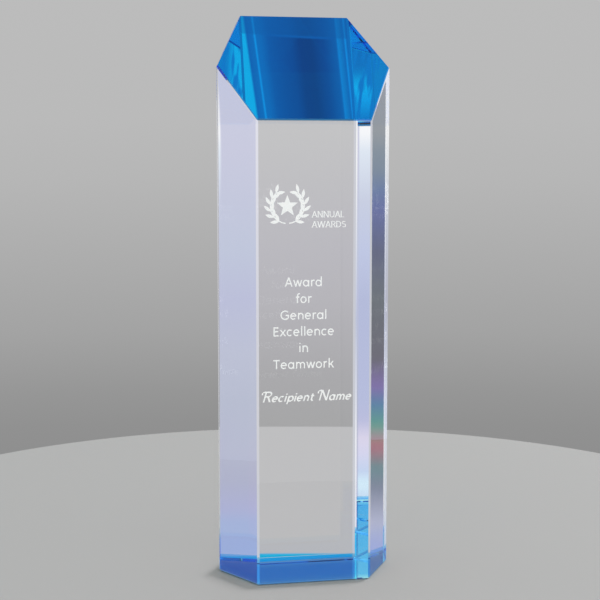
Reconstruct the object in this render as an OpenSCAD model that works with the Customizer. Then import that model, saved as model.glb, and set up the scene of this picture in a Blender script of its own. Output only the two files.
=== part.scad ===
// Crystal tower award: a clear prism, an elongated hexagon in plan, with a sloping top that carries a blue coat,
// a blue glass plate bonded underneath, and a white enamel emblem and lettering on the front face.
// The origin is at the middle of the face it stands on. The front face looks along -Y.

/* [Crystal] */
// Height from the face it stands on to the back edge of the sloping top
award_h = 250; // [220:1:320]
// Width of the front and back faces
front_w = 50; // [50:1:80]
// Distance between the front and back faces
depth = 48.5; // [36:0.5:60]
// Angle from the front face to each side facet
facet_angle = 60; // [50:1:70]
// Slope of the top, rising from the front face to the back face
top_slope = 45; // [20:1:50]
// Width of the polished bevel along the upright edges
edge_bevel = 1.2; // [0.4:0.1:2]
// Width of the polished bevel around the top and the bottom
rim_bevel = 1; // [0.4:0.1:2]

/* [Blue pieces] */
// Thickness of the blue glass plate under the crystal
plate_t = 2.5; // [2:0.1:6]
// Thickness of the clear adhesive film between the plate and the crystal
bond_t = 0.15; // [0.1:0.05:0.3]
// Thickness of the blue coat on the sloping top
coat_t = 0.3; // [0.2:0.05:0.6]

/* [Enamel] */
// How far the enamel stands out from the front face
enamel_t = 0.12; // [0.05:0.01:0.3]
// Height of the emblem's centre above the face the award stands on
emblem_z = 165; // [150:1:175]
// Distance from the middle of the front face to the emblem's centre, to the left
emblem_left = 11.9; // [11:0.1:13]
// Outer radius of the wreath
wreath_r = 9.2; // [6:0.1:10]
// Height of the capitals of the heading beside the emblem
heading_h = 2.7; // [2:0.1:3]
// Height of the capitals of the citation
citation_h = 3.9; // [3:0.1:4.5]
// Distance between the lines of the citation
line_pitch = 7.1; // [6:0.1:8]
// Height of the first line of the citation above the face the award stands on
citation_z = 130.6; // [120:0.1:140]
// Height of the capitals of the recipient's line
recipient_h = 4.6; // [3:0.1:5]
// Height of the recipient's line above the face the award stands on
recipient_z = 80.8; // [60:0.1:85]
// Distance from the middle of the front face to the middle of the citation, to the left
citation_left = 4.7; // [0:0.1:6]
// Distance from the middle of the front face to the middle of the recipient's line, to the left
recipient_left = 3.4; // [0:0.1:4]

/* [Hidden] */

HEADING = ["ANNUAL", "AWARDS"];
CITATION = ["Award", "for", "General", "Excellence", "in", "Teamwork"];
RECIPIENT = "Recipient Name";

half_d = depth / 2;
half_front = front_w / 2;
half_w = half_front + half_d / tan(facet_angle);
far = 2 * award_h;

// A face of the award is [outward unit normal, distance of its plane from the origin].
facet_distance = half_front * sin(facet_angle) + half_d * cos(facet_angle);
function upright_face(azimuth, distance) = [[cos(azimuth), sin(azimuth), 0], distance];
sides = [
    upright_face(-90, half_d),
    upright_face(facet_angle - 90, facet_distance),
    upright_face(90 - facet_angle, facet_distance),
    upright_face(90, half_d),
    upright_face(90 + facet_angle, facet_distance),
    upright_face(270 - facet_angle, facet_distance)
];
slope = [[0, -sin(top_slope), cos(top_slope)], award_h * cos(top_slope) - half_d * sin(top_slope)];
bottom = [[0, 0, -1], 0];

// The flat that cuts off the edge between two faces, square to the line that halves their angle.
function bevel(face_a, face_b, width) =
    let (sum = face_a[0] + face_b[0], sine = norm(sum) / 2, cosine = sqrt(1 - sine * sine))
    [sum / norm(sum), (face_a[1] + face_b[1]) / norm(sum) - width / 2 * cosine / sine];

bevels = [
    for (i = [0:5]) bevel(sides[i], sides[(i + 1) % 6], edge_bevel),
    for (side = sides) bevel(side, slope, rim_bevel),
    for (side = sides) bevel(side, bottom, rim_bevel)
];

module beyond(face) {
    rotate([0, acos(face[0].z), atan2(face[0].y, face[0].x)])
        translate([-far, -far, face[1]])
            cube(2 * far);
}

module slab(low, high) {
    translate([-far, -far, low]) cube([2 * far, 2 * far, high - low]);
}

module outline() {
    polygon([
        [half_front, -half_d], [half_w, 0], [half_front, half_d],
        [-half_front, half_d], [-half_w, 0], [-half_front, -half_d]
    ]);
}

// The whole bevelled block. The glass, adhesive and coat are slices of it, so their sides are flush.
module award_block() {
    difference() {
        linear_extrude(award_h) outline();
        beyond(slope);
        for (flat = bevels) beyond(flat);
    }
}

under_coat = [slope[0], slope[1] - coat_t];

module crystal_tower() {
    color([0.86, 0.87, 0.93, 0.5])
        difference() {
            intersection() {
                award_block();
                slab(plate_t + bond_t, award_h);
            }
            beyond(under_coat);
        }
}

module base_plate() {
    color([0.1, 0.35, 0.7, 0.8])
        intersection() {
            award_block();
            slab(0, plate_t);
        }
}

module base_bond() {
    color([0.75, 0.9, 1, 0.6])
        intersection() {
            award_block();
            slab(plate_t, plate_t + bond_t);
        }
}

module top_coat() {
    color([0.02, 0.45, 0.8, 0.8])
        intersection() {
            award_block();
            beyond(under_coat);
        }
}

// Lettering. A letter is drawn with a pen along strokes, on a grid where the capitals are 14 high and the small
// letters 10.
CAPITAL = 14;
SMALL = 10;
TALL = 15;
TAIL = -4.4;
WORD_SPACE = 6;
SERIF = [4, 0.8];
half_pen = 0.8;

// A style is [pen, slant, space added after each letter, scale of the small letters].
// A pen is [its widest stroke, its thinnest stroke, the angle of its thinnest stroke].
PLAIN = [[1.8, 1.8, 0], 0, 0.9, 1];
ROMAN = [[2, 1.1, 0], 0, 0, 1];
SCRIPT = [[2.3, 0.9, 35], 0.3, 0.9, 0.74];

function arc(centre, radii, from, to) =
    let (steps = max(3, ceil(abs(to - from) / 15)))
    [for (i = [0:steps]) let (a = from + (to - from) * i / steps)
        [centre.x + radii.x * cos(a), centre.y + radii.y * sin(a)]];
function stem(x, low, high) = [[x, low], [x, high]];
function bar(left, right, y) = [[left, y], [right, y]];
function bowl(x) = [arc([x, 5], [4, 4.4], 90, 270), arc([x, 5], [4, 4.4], -90, 90)];
function arch(x, r) = concat(arc([x + r, 5.9], [r, 3.5], 180, 0), [[x + 2 * r, 0]]);
function crossbar(left, right) = bar(left, right, SMALL - half_pen);

// Each letter is [letter, distance to the next letter, strokes].
LETTERS = [
    ["A", 12.4, [[[1, 0], [6.2, CAPITAL]], [[6.2, CAPITAL], [11.4, 0]], bar(3, 9.4, 4.6)]],
    ["D", 13, [stem(2, 0, CAPITAL), concat([[2, 13.2]], arc([5.6, 7], [5.4, 6.2], 90, -90), [[2, 0.8]])]],
    ["E", 10, [stem(2, 0, CAPITAL), bar(2, 9, 13.2), bar(2, 8.4, 7.3), bar(2, 9, 0.8)]],
    ["G", 14.6, [arc([7.8, 7], [6.4, 6.4], 45, 320), stem(12.8, 2.4, 7), bar(8.6, 13.6, 6.6)]],
    ["L", 9.4, [stem(2, 0, CAPITAL), bar(2, 9, 0.8)]],
    ["N", 13.4, [stem(2, 0, CAPITAL), stem(11.2, 0, CAPITAL), [[2, CAPITAL], [11.2, 0]]]],
    ["R", 11.4, [
        stem(2, 0, CAPITAL),
        concat([[2, 13.2]], arc([6, 10.2], [3.5, 3], 90, -90), [[2, 7.2]]),
        [[6, 7.2], [10.2, 0]]
    ]],
    ["S", 10.4, [concat(arc([5.2, 10.3], [3.5, 2.9], 40, 270), arc([5.2, 4.1], [3.8, 3.3], 70, -140))]],
    ["T", 11, [bar(0.6, 10.4, 13.2), stem(5.5, 0, CAPITAL)]],
    ["U", 13, [concat([[2, CAPITAL]], arc([6.5, 5.2], [4.5, 4.4], 180, 360), [[11, CAPITAL]])]],
    ["W", 18.4, [for (x = [1, 9.2]) each [[[x, CAPITAL], [x + 4, 0]], [[x + 4, 0], [x + 8.2, CAPITAL]]]]],
    ["a", 11, [each bowl(5), stem(9.2, 0, SMALL)]],
    ["c", 9.4, [arc([5, 5], [4, 4.4], 50, 310)]],
    ["d", 11.2, [each bowl(5), stem(9.2, 0, TALL)]],
    ["e", 10.4, [bar(1, 9, 5.2), arc([5, 5], [4, 4.4], 0, 315)]],
    ["f", 6.8, [concat([[3.2, 0]], arc([6.2, 11.6], [3, 2.8], 180, 70)), crossbar(0.8, 6.4)]],
    ["i", 4, [stem(2, 0, SMALL), stem(2, 12.4, 14.3)]],
    ["k", 9.8, [stem(2, 0, TALL), [[8.4, SMALL], [2.4, 4.2]], [[4.4, 6.4], [9, 0]]]],
    ["l", 4, [stem(2, 0, TALL)]],
    ["m", 16.4, [stem(2, 0, SMALL), arch(2, 3.1), arch(8.2, 3.1)]],
    ["n", 10.8, [stem(2, 0, SMALL), arch(2, 3.5)]],
    ["o", 10.4, bowl(5)],
    ["p", 11, [stem(2, TAIL, SMALL), each bowl(6.2)]],
    ["r", 7, [stem(2, 0, SMALL), arc([5.6, 5.9], [3.6, 3.5], 180, 75)]],
    ["t", 7.4, [concat([[3, 13]], arc([6, 3.6], [3, 2.8], 180, 280)), crossbar(0.8, 6.4)]],
    ["w", 14, [for (x = [1, 7]) each [[[x, SMALL], [x + 3, 0]], [[x + 3, 0], [x + 6, SMALL]]]]],
    ["x", 9.8, [[[1, SMALL], [8.8, 0]], [[8.8, SMALL], [1, 0]]]],
    [" ", WORD_SPACE, []]
];
function letter(c) = LETTERS[search([c], LETTERS)[0]];
function is_capital(c) = c >= "A" && c <= "Z";
function letter_scale(c, style) = is_capital(c) ? 1 : style[3];
function written_width(text, style, count) =
    count == 0 ? 0
    : letter(text[count - 1])[1] * letter_scale(text[count - 1], style) + style[2]
        + written_width(text, style, count - 1);

function unit(v) = v / norm(v);
function left_of(v) = [-v.y, v.x];
function pen_reach(way, pen) =
    (pen[1] + (pen[0] - pen[1]) * abs(cross(way, [cos(pen[2]), sin(pen[2])]))) / 2;
// A stroke ends in a level cut where it is steep and in an upright cut where it is flat. A curved one that ends at
// a slant is cut square, because its outline would cross itself otherwise.
function end_side(way, pen, is_straight) =
    let (reach = pen_reach(way, pen), limit = is_straight ? 0.7 : 0.9)
    abs(way.y) > limit ? [-reach / way.y, 0]
    : abs(way.x) > limit ? [0, reach / way.x]
    : reach * left_of(way);
function middle_side(way_in, way_out, pen) =
    let (side = unit(left_of(way_in + way_out)))
    side * pen_reach(way_out, pen) / max(0.5, side * left_of(way_out));
function side_at(path, i, pen) =
    let (last = len(path) - 1)
    i == 0 ? end_side(unit(path[1] - path[0]), pen, last == 1)
    : i == last ? end_side(unit(path[last] - path[last - 1]), pen, last == 1)
    : middle_side(unit(path[i] - path[i - 1]), unit(path[i + 1] - path[i]), pen);
function stroke_outline(path, pen) = concat(
    [for (i = [0:len(path) - 1]) path[i] - side_at(path, i, pen)],
    [for (i = [len(path) - 1:-1:0]) path[i] + side_at(path, i, pen)]
);
function styled(path, size, slant) = [for (p = path) size * [p.x + slant * p.y, p.y]];

module strokes(paths, style, size = 1) {
    for (path = paths) polygon(stroke_outline(styled(path, size, style[1]), style[0]));
}

// The short level bars that close the upright strokes of a roman capital.
module serifs(paths) {
    for (path = paths, end = path)
        if (len(path) == 2 && abs(path[1].y - path[0].y) > SMALL && (end.y == 0 || end.y == CAPITAL))
            translate([end.x - SERIF.x / 2, end.y == 0 ? 0 : CAPITAL - SERIF.y]) square(SERIF);
}

// The curl that a script capital starts with.
module curl(style) {
    strokes([arc([0.2, 11], [3, 2.3], 215, 65)], style);
}

module line_of_text(text, capital_h, style) {
    scale(capital_h / CAPITAL)
        translate([-written_width(text, style, len(text)) / 2, 0])
            for (i = [0:len(text) - 1])
                translate([written_width(text, style, i), 0]) {
                    strokes(letter(text[i])[2], style, letter_scale(text[i], style));
                    if (style == ROMAN) serifs(letter(text[i])[2]);
                    if (style == SCRIPT && is_capital(text[i])) curl(style);
                }
}

// Lays a flat drawing on the front face, x to the right and y up, and gives it the enamel's thickness.
module enamel(x, z) {
    color([0.97, 0.97, 0.96])
        translate([x, -half_d, z])
            rotate([90, 0, 0])
                linear_extrude(enamel_t)
                    children();
}

module citation_line(number) {
    enamel(-citation_left, citation_z - (number - 1) * line_pitch)
        line_of_text(CITATION[number - 1], citation_h, PLAIN);
}

heading_left = wreath_r - emblem_left + 1.4;
heading_gap = 1.2 * heading_h;

module heading_line(number) {
    text = HEADING[number - 1];
    half_text = written_width(text, ROMAN, len(text)) / 2 * heading_h / CAPITAL;
    enamel(heading_left + half_text, emblem_z - wreath_r + (2 - number) * (heading_h + heading_gap / 2))
        line_of_text(text, heading_h, ROMAN);
}

STAR_POINTS = 5;
star_r = 0.52 * wreath_r;
star_waist = 0.42 * star_r;

module emblem_star() {
    enamel(-emblem_left, emblem_z)
        polygon([
            for (i = [0:2 * STAR_POINTS - 1])
                let (r = i % 2 == 0 ? star_r : star_waist, a = 90 + i * 180 / STAR_POINTS)
                r * [cos(a), sin(a)]
        ]);
}

LEAF_PAIRS = 6;
leaf_l = 0.44 * wreath_r;
leaf_w = 0.15 * wreath_r;
stem_r = 0.8 * wreath_r;
stem_w = 0.05 * wreath_r;
stem_start = -84;
leaf_step = 22;

module leaf() {
    polygon([
        for (t = [0:0.1:0.9]) [leaf_l * t, -leaf_w / 2 * sin(180 * t)],
        for (t = [1:-0.1:0.1]) [leaf_l * t, leaf_w / 2 * sin(180 * t)]
    ]);
}

module branch() {
    polygon(stroke_outline(
        arc([0, 0], [stem_r, stem_r], stem_start, stem_start + (LEAF_PAIRS + 0.2) * leaf_step),
        [stem_w, stem_w, 0]
    ));
    for (i = [1:LEAF_PAIRS], lean = [-34, 34])
        rotate(stem_start + i * leaf_step)
            translate([stem_r, 0])
                rotate(90 + lean)
                    leaf();
}

module emblem_wreath() {
    enamel(-emblem_left, emblem_z) {
        branch();
        mirror([1, 0]) branch();
    }
}

module recipient_line() {
    enamel(-recipient_left, recipient_z)
        line_of_text(RECIPIENT, recipient_h, SCRIPT);
}

crystal_tower();
base_plate();
base_bond();
top_coat();
emblem_star();
emblem_wreath();
heading_line(1);  // heading_line_1
heading_line(2);  // heading_line_2
citation_line(1);  // citation_line_1
citation_line(2);  // citation_line_2
citation_line(3);  // citation_line_3
citation_line(4);  // citation_line_4
citation_line(5);  // citation_line_5
citation_line(6);  // citation_line_6
recipient_line();
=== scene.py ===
"""Looks for the crystal award: clear glass on a blue plate, with a blue coat on top and white enamel."""

import math

import bpy
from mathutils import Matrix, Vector


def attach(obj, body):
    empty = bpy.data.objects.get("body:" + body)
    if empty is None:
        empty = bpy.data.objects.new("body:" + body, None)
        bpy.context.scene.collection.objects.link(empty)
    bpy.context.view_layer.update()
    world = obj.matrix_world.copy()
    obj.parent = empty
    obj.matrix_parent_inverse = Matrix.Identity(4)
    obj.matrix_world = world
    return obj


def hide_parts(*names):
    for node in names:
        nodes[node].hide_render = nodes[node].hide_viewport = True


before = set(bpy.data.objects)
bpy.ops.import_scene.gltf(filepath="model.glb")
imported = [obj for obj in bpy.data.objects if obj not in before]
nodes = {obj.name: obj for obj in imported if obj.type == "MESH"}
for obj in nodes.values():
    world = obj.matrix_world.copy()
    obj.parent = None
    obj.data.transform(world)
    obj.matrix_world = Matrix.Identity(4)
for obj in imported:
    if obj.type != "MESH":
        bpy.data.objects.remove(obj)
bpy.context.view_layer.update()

MM = 0.001
UP = Vector((0, 0, 1))
BACKWARDS = Vector((0, 1, 0))
GAP = 0.01 * MM
SLACK = 0.004 * MM

# The pieces' looks. The plate's own colour is in its surfaces and, with its depth, in its volume.
GLASS_IOR = 1.52
ADHESIVE_IOR = 1.50
COAT_TINT = (0.002, 0.36, 0.85)
PLATE_TINT = (0.5, 0.85, 0.99)
PLATE_KEEPS = (0.0, 0.64, 0.98)
PLATE_DENSITY = 100
ENAMEL_NAMES = ("emblem", "heading", "citation", "recipient")
ENAMEL_DARKER = (0.86, 0.86, 0.85)
ENAMEL_PALER = (0.95, 0.95, 0.94)
ENAMEL_ROUGHNESS = 0.45
GRAIN_SCALE = 2600.0
GRAIN_DETAIL = 3.0
GRAIN_STRENGTH = 0.4
GRAIN_HEIGHT = 0.02 * MM

# The camera. Azimuths are in degrees from +X towards +Y: 0 is right of the award, 90 behind it, -90 in front.
VIEW_AZIMUTH = -100.894
VIEW_ELEVATION = 6.115
VIEW_DISTANCE = 601.4 * MM
VIEW_TARGET = Vector((-1.68 * MM, 0.32 * MM, 122.1 * MM))
LENS = 80.6
SENSOR = 36.0

# The floor: a round table top, whose middle lies behind the award as the camera sees it
FLOOR_RADIUS = 260 * MM
FLOOR_BACK = 54 * MM
FLOOR_DROP = 0.3 * MM
FLOOR_THICKNESS = 12 * MM
FLOOR_SIDES = 256
FLOOR_COLOUR = (0.245, 0.235, 0.236)
FLOOR_ROUGHNESS = 0.7

# The lamps: name, azimuth, elevation, distance and side in metres, and power in watts
LAMPS = (("key", -70, 55, 2.2, 1.0, 24), ("side", 35, 18, 4.4, 1.2, 420))
LAMP_TARGET = Vector((0, 0, 120 * MM))

# How many times light may turn in the clear block
BOUNCES = 32
GLOSSY_BOUNCES = 16

# The wall that the camera sees: a grey for each elevation in degrees
PLAIN = (
    (-30, 0.22), (-13, 0.268), (-11.25, 0.283), (-9.9, 0.306), (-7.4, 0.366), (-4.8, 0.408), (-1, 0.468),
    (1.5, 0.491), (4, 0.497), (30, 0.55),
)

# What the glass sees. The real studio isn't known, so these colours stand for it. They were matched,
# direction by direction, to what the facets show in the photograph, and are a guess from every other side.
# The bands go all round, and TABLE, WALL and CEILING have a colour for each elevation.
NADIR = (0.46, 0.46, 0.47)
NADIR_EDGE = -28.0
NADIR_SOFTNESS = 1.5
TABLE = ((-30, (0.45, 0.45, 0.46)), (-17, (0.48, 0.48, 0.49)), (-11, (0.485, 0.485, 0.495)))
TABLE_START = -20.0
TABLE_SOFTNESS = 1.0
WALL = (
    (-11.6, (0.335, 0.335, 0.34)), (-9.3, (0.358, 0.355, 0.37)), (-6.1, (0.43, 0.423, 0.455)),
    (-4, (0.455, 0.448, 0.487)), (1, (0.515, 0.515, 0.525)), (7, (0.53, 0.53, 0.54)),
    (14, (0.48, 0.39, 0.50)), (19, (0.48, 0.39, 0.50)), (30, (0.60, 0.60, 0.60)),
)
WALL_START = -11.5
CEILING = (
    (30, (0.60, 0.60, 0.60)), (55, (1.0, 1.2, 1.1)), (71, (1.0, 1.2, 1.1)), (75, (0.12, 0.30, 0.45)),
    (90, (0.10, 0.25, 0.40)),
)
CEILING_START = 30.0
CEILING_SOFTNESS = 3.0
SHARP = 0.03

# The band between NADIR and TABLE has a colour for each azimuth. These azimuths hold at STRIPES_HEIGHT, and
# the stripes shift by STRIPES_LEAN for each degree of elevation.
STRIPES = (
    (74.6, (0.42, 0.45, 0.49)), (75.2, (0.30, 0.35, 0.54)), (76.25, (0.30, 0.35, 0.54)),
    (76.33, (0.6, 0.75, 0.9)), (76.40, (0.30, 0.35, 0.54)), (76.55, (0.40, 0.50, 0.64)),
    (76.68, (0.45, 0.60, 0.75)), (76.75, (0.3, 0.30, 0.48)), (77.3, (0.20, 0.17, 0.34)),
    (77.9, (0.22, 0.11, 0.24)), (78.4, (0.22, 0.11, 0.25)), (78.8, (0.18, 0.17, 0.34)),
    (79.3, (0.20, 0.20, 0.38)), (79.8, (0.22, 0.25, 0.44)), (80.15, (0.30, 0.38, 0.56)),
    (80.33, (0.30, 0.40, 0.58)), (80.40, (0.5, 0.85, 0.95)), (80.47, (0.30, 0.40, 0.58)),
    (80.66, (0.30, 0.36, 0.55)), (80.74, (0.10, 0.30, 0.52)), (80.84, (0.6, 1.15, 0.95)),
    (81.6, (0.6, 1.15, 0.95)), (82.0, (0.42, 0.45, 0.49)),
)
STRIPES_LEAN = 0.283
STRIPES_HEIGHT = -22.5

# A thin line crosses the stripes, with a veil over them above it. It is LEDGE high at LEDGE_AZIMUTH, and
# rises by LEDGE_SLOPE for each degree of azimuth.
LEDGE = -22.84
LEDGE_AZIMUTH = 80.8
LEDGE_SLOPE = 0.084
LEDGE_HALF_WIDTH = 0.005
LEDGE_EDGE = 0.06
LEDGE_COLOUR = (0.22, 0.27, 0.47)
VEIL_COLOUR = (0.25, 0.28, 0.46)
VEIL_SHARE = 0.5

# Screens over those bands: azimuth, half width and soft edge in degrees, and a colour for each elevation
SCREENS = {
    "corner": (64, 3, 3, (
        (-30, (0.5, 0.6, 0.7)), (-12, (0.60, 0.60, 0.64)), (2, (0.74, 0.74, 0.82)), (30, (0.8, 0.8, 0.8)))),
    "lavender": (43, 10, 6, (
        (-30, (0.40, 0.41, 0.48)), (-24.4, (0.38, 0.48, 0.60)), (-21.5, (0.40, 0.48, 0.62)),
        (-16.85, (0.34, 0.43, 0.71)), (-15.5, (0.35, 0.42, 0.70)), (-14.9, (0.40, 0.41, 0.66)),
        (-13.8, (0.41, 0.42, 0.59)), (-12.6, (0.44, 0.455, 0.60)), (-10.4, (0.438, 0.47, 0.60)),
        (-8.3, (0.48, 0.51, 0.65)), (-6.1, (0.485, 0.51, 0.70)), (-4, (0.51, 0.555, 0.71)),
        (0.3, (0.55, 0.56, 0.72)), (3, (0.55, 0.57, 0.73)), (10, (0.60, 0.63, 0.79)),
        (14, (0.50, 0.21, 0.39)), (19, (0.50, 0.21, 0.39)), (30, (0.9, 0.9, 0.9)))),
    "strip": (44.4, 0.95, 0.1, (
        (-30, (0.30, 0.45, 0.64)), (-26, (0.30, 0.50, 0.66)), (-25.3, (0.6, 0.95, 0.95)),
        (-24.8, (0.6, 1.15, 1.0)), (-24.3, (0.35, 0.48, 0.64)), (-23.5, (0.3, 0.40, 0.58)),
        (-21, (0.40, 0.60, 0.68)), (-14.4, (0.60, 0.75, 0.92)), (-13.9, (0.70, 0.90, 1.0)),
        (-13.4, (0.53, 0.65, 0.87)), (-12.6, (0.66, 0.66, 0.86)), (-12, (0.70, 0.66, 0.83)),
        (-11.2, (0.48, 0.50, 0.73)), (-10.4, (0.45, 0.495, 0.725)), (-6.1, (0.44, 0.485, 0.70)),
        (-4, (0.51, 0.565, 0.775)), (-1.9, (0.57, 0.615, 0.765)), (0.2, (0.73, 0.80, 0.90)),
        (1, (0.94, 0.95, 0.98)), (12, (0.95, 0.95, 0.98)), (15, (2.6, 1.45, 0.85)), (19, (2.6, 1.45, 0.85)),
        (30, (0.9, 0.9, 0.9)))),
    "spectrum": (123, 10, 8, (
        (-30, (0.3, 0.3, 0.4)), (-16.6, (0.32, 0.40, 0.80)), (-15.5, (0.42, 0.45, 0.66)),
        (-14, (0.12, 0.16, 0.27)), (-13.2, (0.04, 0.18, 0.22)), (-12.3, (0.36, 0.06, 0.12)),
        (-11.4, (0.0, 0.26, 0.12)), (-10.5, (0.0, 0.13, 0.26)), (-9.8, (0.14, 0.06, 0.28)),
        (-8.6, (0.05, 0.03, 0.0)), (-6, (0.05, 0.06, 0.02)), (-4, (0.0, 0.0, 0.04)),
        (-2.2, (0.0, 0.02, 0.22)), (-1.4, (0.0, 0.06, 0.22)), (-0.6, (0.05, 0.10, 0.16)),
        (1, (0.08, 0.11, 0.14)), (2.5, (0.10, 0.12, 0.16)), (30, (0.5, 0.5, 0.6)))),
    "left": (161, 12, 10, (
        (-30, (0.5, 0.55, 0.7)), (-16, (0.72, 0.80, 0.92)), (-10, (0.80, 0.84, 0.92)),
        (-6, (0.50, 0.50, 0.55)), (-3, (0.62, 0.63, 0.66)), (1, (0.95, 0.95, 0.95)), (30, (0.9, 0.9, 0.9)))),
    "left_front": (-146, 12, 8, (
        (-30, (0.5, 0.55, 0.7)), (-12, (0.85, 0.86, 0.92)), (-7, (0.50, 0.54, 0.70)),
        (0, (0.92, 0.93, 0.95)), (12, (0.9, 0.9, 0.9)), (15, (1.2, 1.5, 0.95)), (19, (1.2, 1.5, 0.95)),
        (30, (0.9, 0.9, 0.9)))),
    "front": (-78, 20, 10, (
        (-30, (0.45, 0.56, 0.67)), (-21, (0.55, 0.60, 0.68)), (-18, (0.9, 0.9, 0.9)), (30, (0.9, 0.9, 0.9)))),
    "right_front": (-41, 8, 8, (
        (-30, (0.30, 0.55, 0.68)), (-20, (0.30, 0.55, 0.68)), (-10, (0.8, 0.8, 0.85)),
        (30, (0.9, 0.9, 0.9)))),
    "behind": (95, 2.5, 2, (
        (-30, (0.25, 0.40, 0.58)), (-19, (0.25, 0.40, 0.58)), (-16, (0.55, 0.57, 0.62)),
        (30, (0.6, 0.6, 0.65)))),
    "cyan": (-40.1, 1.15, 0.5, (
        (-30, (0.6, 1.15, 0.95)), (-20, (0.6, 1.1, 0.95)), (-10, (0.8, 0.8, 0.85)), (30, (0.9, 0.9, 0.9)))),
}

# Low blue laps, which the glass shows as a bright line over the plate: azimuth, half width, upper elevation
LAPS = ((79, 3.5, -16.85), (40, 3.0, -16.95))
LAP_HEIGHT = 0.8
LAP_COLOUR = (0.0, 0.42, 0.71)
LAP_EDGE = 0.1
LAP_END = 1.0

# Fine upright streaks of noise, in narrow windows of azimuth and half width
STREAKED = ((-38.9, 0.6), (44.9, 0.8), (-74.4, 0.7))
STREAKED_EDGE = 0.2
STREAK_MIDDLE = -24.0
STREAK_HALF_HEIGHT = 3.0
STREAK_FADE = 1.0
STREAK_SCALE = 4.0
STREAK_DETAIL = 1.0
STREAK_STRETCH = 0.25
STREAK_LEVEL = 0.52
STREAK_SOFTNESS = 0.07
STREAK_COLOUR = (0.25, 0.50, 0.68)

# Round glows far above and below: azimuth, elevation and colour
CYAN_GLOW = (0.6, 1.6, 0.93)
WARM_GLOW = (3.5, 1.5, 1.05)
GLOW_RADIUS = 5.0
GLOW_SOFTNESS = 0.5
GLOWS = (
    (0, -58.7, CYAN_GLOW), (-59, -62, CYAN_GLOW), (60, -63, CYAN_GLOW), (127, -67.5, CYAN_GLOW),
    (-114, -67.5, CYAN_GLOW), (-136.4, 62.6, WARM_GLOW),
)


# Places and directions

def face_plane(node, towards):
    """(unit normal, distance from the origin) of the CAD node's face that looks most nearly this way."""
    mesh = nodes[node].data
    face = max(mesh.polygons, key=lambda polygon: polygon.normal.dot(towards))
    return face.normal.copy(), face.normal.dot(face.center)


def set_back(planes):
    """The planes after their faces have been moved to stand clear."""
    return [(normal, distance - GAP) for normal, distance in planes]


def direction(azimuth, elevation):
    """The unit vector at an azimuth and an elevation in degrees."""
    turn = math.radians(azimuth)
    rise = math.radians(elevation)
    return Vector((math.cos(turn) * math.cos(rise), math.sin(turn) * math.cos(rise), math.sin(rise)))


# Node trees

def new_tree(name):
    """A material with an empty tree, its tree and its output node."""
    material = bpy.data.materials.new(name)
    material.use_nodes = True
    tree = material.node_tree
    tree.nodes.clear()
    return material, tree, tree.nodes.new("ShaderNodeOutputMaterial")


def input_socket(node, key):
    """The input with this name, where _ is a space, or at this place, where n0 is the first."""
    if key[0] == "n" and key[1:].isdigit():
        return node.inputs[int(key[1:])]
    return node.inputs[key.replace("_", " ")]


def add(tree, kind, settings=None, **inputs):
    """A node whose settings are attributes and whose inputs are values or sockets."""
    node = tree.nodes.new(kind)
    for key, value in (settings or {}).items():
        setattr(node, key, value)
    for key, value in inputs.items():
        socket = input_socket(node, key)
        if isinstance(value, bpy.types.NodeSocket):
            tree.links.new(value, socket)
        else:
            socket.default_value = value
    return node


def maths(tree, operation, *values):
    inputs = {f"n{place}": value for place, value in enumerate(values)}
    return add(tree, "ShaderNodeMath", {"operation": operation}, **inputs).outputs[0]


def dot(tree, one, other):
    return add(tree, "ShaderNodeVectorMath", {"operation": "DOT_PRODUCT"}, n0=one, n1=other).outputs["Value"]


def mix(tree, share, one, other, blend="MIX"):
    """One colour where the share is 0, and the other where it is 1."""
    settings = {"data_type": "RGBA", "blend_type": blend}
    return add(tree, "ShaderNodeMix", settings, n0=share, n6=one, n7=other).outputs[2]


def ramp(tree, value, stops):
    """A colour that changes with the value, through (value, colour) stops."""
    low, high = stops[0][0], stops[-1][0]
    share = add(tree, "ShaderNodeMapRange", Value=value, From_Min=low, From_Max=high).outputs["Result"]
    node = add(tree, "ShaderNodeValToRGB", Fac=share)
    elements = node.color_ramp.elements
    while len(elements) < len(stops):
        elements.new(0.5)
    for element, (at, colour) in zip(elements, stops):
        element.position = (at - low) / (high - low)
        element.color = (*colour, 1)
    return node.outputs["Color"]


def step(tree, value, edge, softness):
    """0 below the edge and 1 above it, with a soft change between."""
    return add(
        tree, "ShaderNodeMapRange", {"interpolation_type": "SMOOTHSTEP"},
        Value=value, From_Min=edge - softness, From_Max=edge + softness,
    ).outputs["Result"]


def near(tree, apart, half_width, edge):
    """1 where a difference is within half_width of 0, and 0 beyond the soft edge around that."""
    size = maths(tree, "ABSOLUTE", apart)
    return maths(tree, "SUBTRACT", 1.0, step(tree, size, half_width + edge / 2, edge / 2))


def near_height(tree, height, middle, half_height, edge):
    return near(tree, maths(tree, "SUBTRACT", height, middle), half_height, edge)


def near_azimuth(tree, bearing, azimuth, half_width, edge):
    turned = maths(tree, "WRAP", maths(tree, "SUBTRACT", bearing, azimuth), 180.0, -180.0)
    return near(tree, turned, half_width, edge)


# Materials

def on_planes(tree, planes):
    """1 on the faces that lie in one of the planes, and 0 elsewhere."""
    place = add(tree, "ShaderNodeNewGeometry").outputs["Position"]
    found = 0.0
    for normal, distance in planes:
        there = maths(tree, "GREATER_THAN", dot(tree, place, normal), distance - SLACK)
        found = maths(tree, "MAXIMUM", found, there)
    return found


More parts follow.
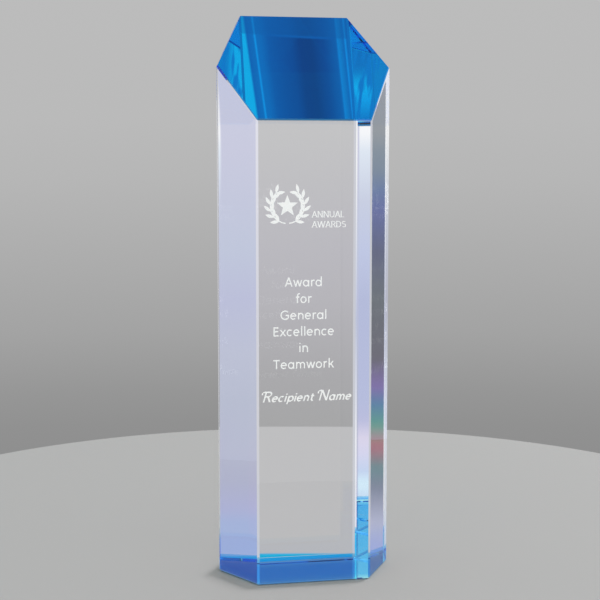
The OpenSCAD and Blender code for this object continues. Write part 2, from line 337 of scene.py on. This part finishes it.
def joined_glass(name, ior, joints, tint=(1, 1, 1), kept=None):
    """Polished glass, whose cemented faces let light cross without bending or mirroring.

    Its surfaces have the tint. Where kept is given, its colour also deepens with the light's way through it.
    """
    material, tree, output = new_tree(name)
    glass = add(
        tree, "ShaderNodeBsdfPrincipled",
        Base_Color=(*tint, 1), IOR=ior, Roughness=0.0, Transmission_Weight=1.0,
    ).outputs["BSDF"]
    crossing = [math.sqrt(part) for part in tint]
    clear = add(tree, "ShaderNodeBsdfTransparent", Color=(*crossing, 1)).outputs[0]
    mixed = add(tree, "ShaderNodeMixShader", n0=on_planes(tree, joints), n1=glass, n2=clear)
    tree.links.new(mixed.outputs[0], output.inputs["Surface"])
    if kept:
        volume = add(tree, "ShaderNodeVolumeAbsorption", Color=(*kept, 1), Density=PLATE_DENSITY)
        tree.links.new(volume.outputs[0], output.inputs["Volume"])
    return material


def white_enamel():
    """Satin enamel with a fine grain in its tone and its surface."""
    material, tree, output = new_tree("white_enamel")
    place = add(tree, "ShaderNodeTexCoord").outputs["Object"]
    noise = add(tree, "ShaderNodeTexNoise", Vector=place, Scale=GRAIN_SCALE, Detail=GRAIN_DETAIL)
    grain = noise.outputs["Fac"]
    tone = ramp(tree, grain, ((0, ENAMEL_DARKER), (1, ENAMEL_PALER)))
    relief = add(tree, "ShaderNodeBump", Strength=GRAIN_STRENGTH, Distance=GRAIN_HEIGHT, Height=grain)
    surface = add(
        tree, "ShaderNodeBsdfPrincipled",
        Base_Color=tone, Roughness=ENAMEL_ROUGHNESS, Normal=relief.outputs["Normal"],
    )
    tree.links.new(surface.outputs["BSDF"], output.inputs["Surface"])
    return material


def pale_floor():
    material, tree, output = new_tree("pale_floor")
    surface = add(
        tree, "ShaderNodeBsdfPrincipled",
        Base_Color=(*FLOOR_COLOUR, 1), Roughness=FLOOR_ROUGHNESS,
    )
    tree.links.new(surface.outputs["BSDF"], output.inputs["Surface"])
    return material


# The object

def dress(piece, material):
    piece.data.materials.clear()
    piece.data.materials.append(material)


def standing_clear(node, name, joints):
    """A copy of a CAD node whose cemented faces stand a hair clear, so that light meets each joint once."""
    mesh = nodes[node].data.copy()
    for vertex in mesh.vertices:
        for normal, distance in joints:
            if abs(vertex.co.dot(normal) - distance) < SLACK:
                vertex.co -= normal * GAP
    piece = bpy.data.objects.new(name, mesh)
    bpy.context.scene.collection.objects.link(piece)
    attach(piece, "root")
    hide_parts(node)
    return piece


def crystal_block(slope):
    block = nodes["crystal_tower"]
    joints = [face_plane("crystal_tower", -UP), face_plane("crystal_tower", slope)]
    dress(block, joined_glass("optical_crystal", GLASS_IOR, joints))
    block.visible_shadow = False


def base_plate():
    joints = [face_plane("base_plate", UP)]
    dress(nodes["base_plate"], joined_glass("blue_glass", GLASS_IOR, joints, PLATE_TINT, PLATE_KEEPS))


def bond_film():
    joints = [face_plane("base_bond", UP), face_plane("base_bond", -UP)]
    film = standing_clear("base_bond", "bond_film", joints)
    dress(film, joined_glass("clear_adhesive", ADHESIVE_IOR, set_back(joints)))


def coat_film(slope):
    joints = [face_plane("top_coat", -slope)]
    film = standing_clear("top_coat", "coat_film", joints)
    dress(film, joined_glass("blue_coat", GLASS_IOR, set_back(joints), COAT_TINT))
    film.visible_shadow = False


def enamel_films():
    enamel = white_enamel()
    for name in sorted(nodes):
        if name.startswith(ENAMEL_NAMES):
            film = standing_clear(name, name + "_film", [face_plane(name, BACKWARDS)])
            dress(film, enamel)


# The stage

def floor():
    centre = -direction(VIEW_AZIMUTH, 0) * FLOOR_BACK
    bpy.ops.mesh.primitive_cylinder_add(
        vertices=FLOOR_SIDES, radius=FLOOR_RADIUS, depth=FLOOR_THICKNESS,
        location=(centre.x, centre.y, -FLOOR_DROP - FLOOR_THICKNESS / 2),
    )
    disc = bpy.context.object
    disc.name = "floor"
    disc.visible_transmission = False
    dress(disc, pale_floor())


def striped(tree, height, bearing):
    """The band under the table: leaning stripes, a veil over their upper part, and a line where it begins."""
    lean = maths(tree, "MULTIPLY", maths(tree, "SUBTRACT", STRIPES_HEIGHT, height), STRIPES_LEAN)
    stripes = ramp(tree, maths(tree, "ADD", bearing, lean), STRIPES)
    rise = maths(tree, "MULTIPLY", maths(tree, "SUBTRACT", LEDGE_AZIMUTH, bearing), LEDGE_SLOPE)
    above = maths(tree, "SUBTRACT", maths(tree, "ADD", height, rise), LEDGE)
    veil = maths(tree, "MULTIPLY", step(tree, above, 0.0, SHARP), VEIL_SHARE)
    veiled = mix(tree, veil, stripes, (*VEIL_COLOUR, 1))
    line = near(tree, above, LEDGE_HALF_WIDTH, LEDGE_EDGE)
    return mix(tree, line, veiled, (*LEDGE_COLOUR, 1), "LIGHTEN")


def streak_share(tree, height, bearing):
    """Upright streaks of noise, in a band round STREAK_MIDDLE."""
    stretched = maths(tree, "MULTIPLY", height, STREAK_STRETCH)
    place = add(tree, "ShaderNodeCombineXYZ", X=bearing, Y=stretched).outputs["Vector"]
    noise = add(tree, "ShaderNodeTexNoise", Vector=place, Scale=STREAK_SCALE, Detail=STREAK_DETAIL)
    streaks = step(tree, noise.outputs["Fac"], STREAK_LEVEL, STREAK_SOFTNESS)
    band = near_height(tree, height, STREAK_MIDDLE, STREAK_HALF_HEIGHT, STREAK_FADE)
    return maths(tree, "MULTIPLY", streaks, band)


def backdrop_for_glass(tree, way, height, bearing):
    """Soft coloured bands and screens all round."""
    over_nadir = step(tree, height, NADIR_EDGE, NADIR_SOFTNESS)
    over_stripes = step(tree, height, TABLE_START, TABLE_SOFTNESS)
    colour = mix(tree, over_stripes, striped(tree, height, bearing), ramp(tree, height, TABLE))
    colour = mix(tree, over_nadir, (*NADIR, 1), colour)
    colour = mix(tree, step(tree, height, WALL_START, SHARP), colour, ramp(tree, height, WALL))

    for azimuth, half_width, edge, stops in SCREENS.values():
        share = maths(tree, "MULTIPLY", near_azimuth(tree, bearing, azimuth, half_width, edge), over_nadir)
        colour = mix(tree, share, colour, ramp(tree, height, stops))

    for azimuth, half_width, top in LAPS:
        lap = near_height(tree, height, top - LAP_HEIGHT / 2, LAP_HEIGHT / 2, LAP_EDGE)
        share = maths(tree, "MULTIPLY", lap, near_azimuth(tree, bearing, azimuth, half_width, LAP_END))
        colour = mix(tree, share, colour, (*LAP_COLOUR, 1))

    streaks = streak_share(tree, height, bearing)
    for azimuth, half_width in STREAKED:
        window = near_azimuth(tree, bearing, azimuth, half_width, STREAKED_EDGE)
        colour = mix(tree, maths(tree, "MULTIPLY", streaks, window), colour, (*STREAK_COLOUR, 1))

    ceiling = ramp(tree, height, CEILING)
    colour = mix(tree, step(tree, height, CEILING_START, CEILING_SOFTNESS), colour, ceiling)
    for azimuth, elevation, glow in GLOWS:
        facing = dot(tree, way, direction(azimuth, elevation))
        apart = maths(tree, "DEGREES", maths(tree, "ARCCOSINE", facing))
        colour = mix(tree, step(tree, apart, GLOW_RADIUS, GLOW_SOFTNESS), (*glow, 1), colour)
    return colour


def backdrop():
    """The studio: a wall that pales upwards for the camera, and soft screens all round for the glass."""
    world = bpy.data.worlds.new("studio")
    bpy.context.scene.world = world
    world.use_nodes = True
    tree = world.node_tree
    tree.nodes.clear()
    way = add(tree, "ShaderNodeTexCoord").outputs["Generated"]
    parts = add(tree, "ShaderNodeSeparateXYZ", Vector=way).outputs
    height = maths(tree, "DEGREES", maths(tree, "ARCSINE", parts["Z"]))
    bearing = maths(tree, "DEGREES", maths(tree, "ARCTAN2", parts["Y"], parts["X"]))
    for_camera = ramp(tree, height, [(elevation, (grey,) * 3) for elevation, grey in PLAIN])
    for_glass = backdrop_for_glass(tree, way, height, bearing)
    seen = add(tree, "ShaderNodeLightPath").outputs["Is Camera Ray"]
    light = add(tree, "ShaderNodeBackground", Color=mix(tree, seen, for_glass, for_camera), Strength=1.0)
    output = add(tree, "ShaderNodeOutputWorld")
    tree.links.new(light.outputs[0], output.inputs["Surface"])


def softbox(name, azimuth, elevation, distance, side, power):
    """A soft light that shines on the floor and the enamel and is not itself mirrored in the glass."""
    data = bpy.data.lights.new(name, "AREA")
    data.shape = "SQUARE"
    data.size = side
    data.energy = power
    lamp = bpy.data.objects.new(name, data)
    way = direction(azimuth, elevation)
    lamp.location = LAMP_TARGET + way * distance
    lamp.rotation_euler = (-way).to_track_quat("-Z", "Y").to_euler()
    lamp.visible_camera = False
    lamp.visible_transmission = False
    lamp.visible_glossy = False
    bpy.context.scene.collection.objects.link(lamp)


def camera():
    data = bpy.data.cameras.new("camera")
    data.lens = LENS
    data.sensor_width = SENSOR
    eye = bpy.data.objects.new("camera", data)
    back = direction(VIEW_AZIMUTH, VIEW_ELEVATION)
    eye.location = VIEW_TARGET + back * VIEW_DISTANCE
    eye.rotation_euler = (-back).to_track_quat("-Z", "Y").to_euler()
    bpy.context.scene.collection.objects.link(eye)
    bpy.context.scene.camera = eye


def light_paths():
    """Clear glass needs many bounces, or its inner mirrors go black."""
    scene = bpy.context.scene
    scene.cycles.max_bounces = BOUNCES
    scene.cycles.transmission_bounces = BOUNCES
    scene.cycles.glossy_bounces = GLOSSY_BOUNCES
    scene.cycles.transparent_max_bounces = BOUNCES
    scene.view_settings.view_transform = "Standard"


slope, _ = face_plane("top_coat", UP - BACKWARDS)
bond_film()
coat_film(slope)
crystal_block(slope)
base_plate()
enamel_films()
floor()
backdrop()
for lamp_values in LAMPS:
    softbox(*lamp_values)
camera()
light_paths()
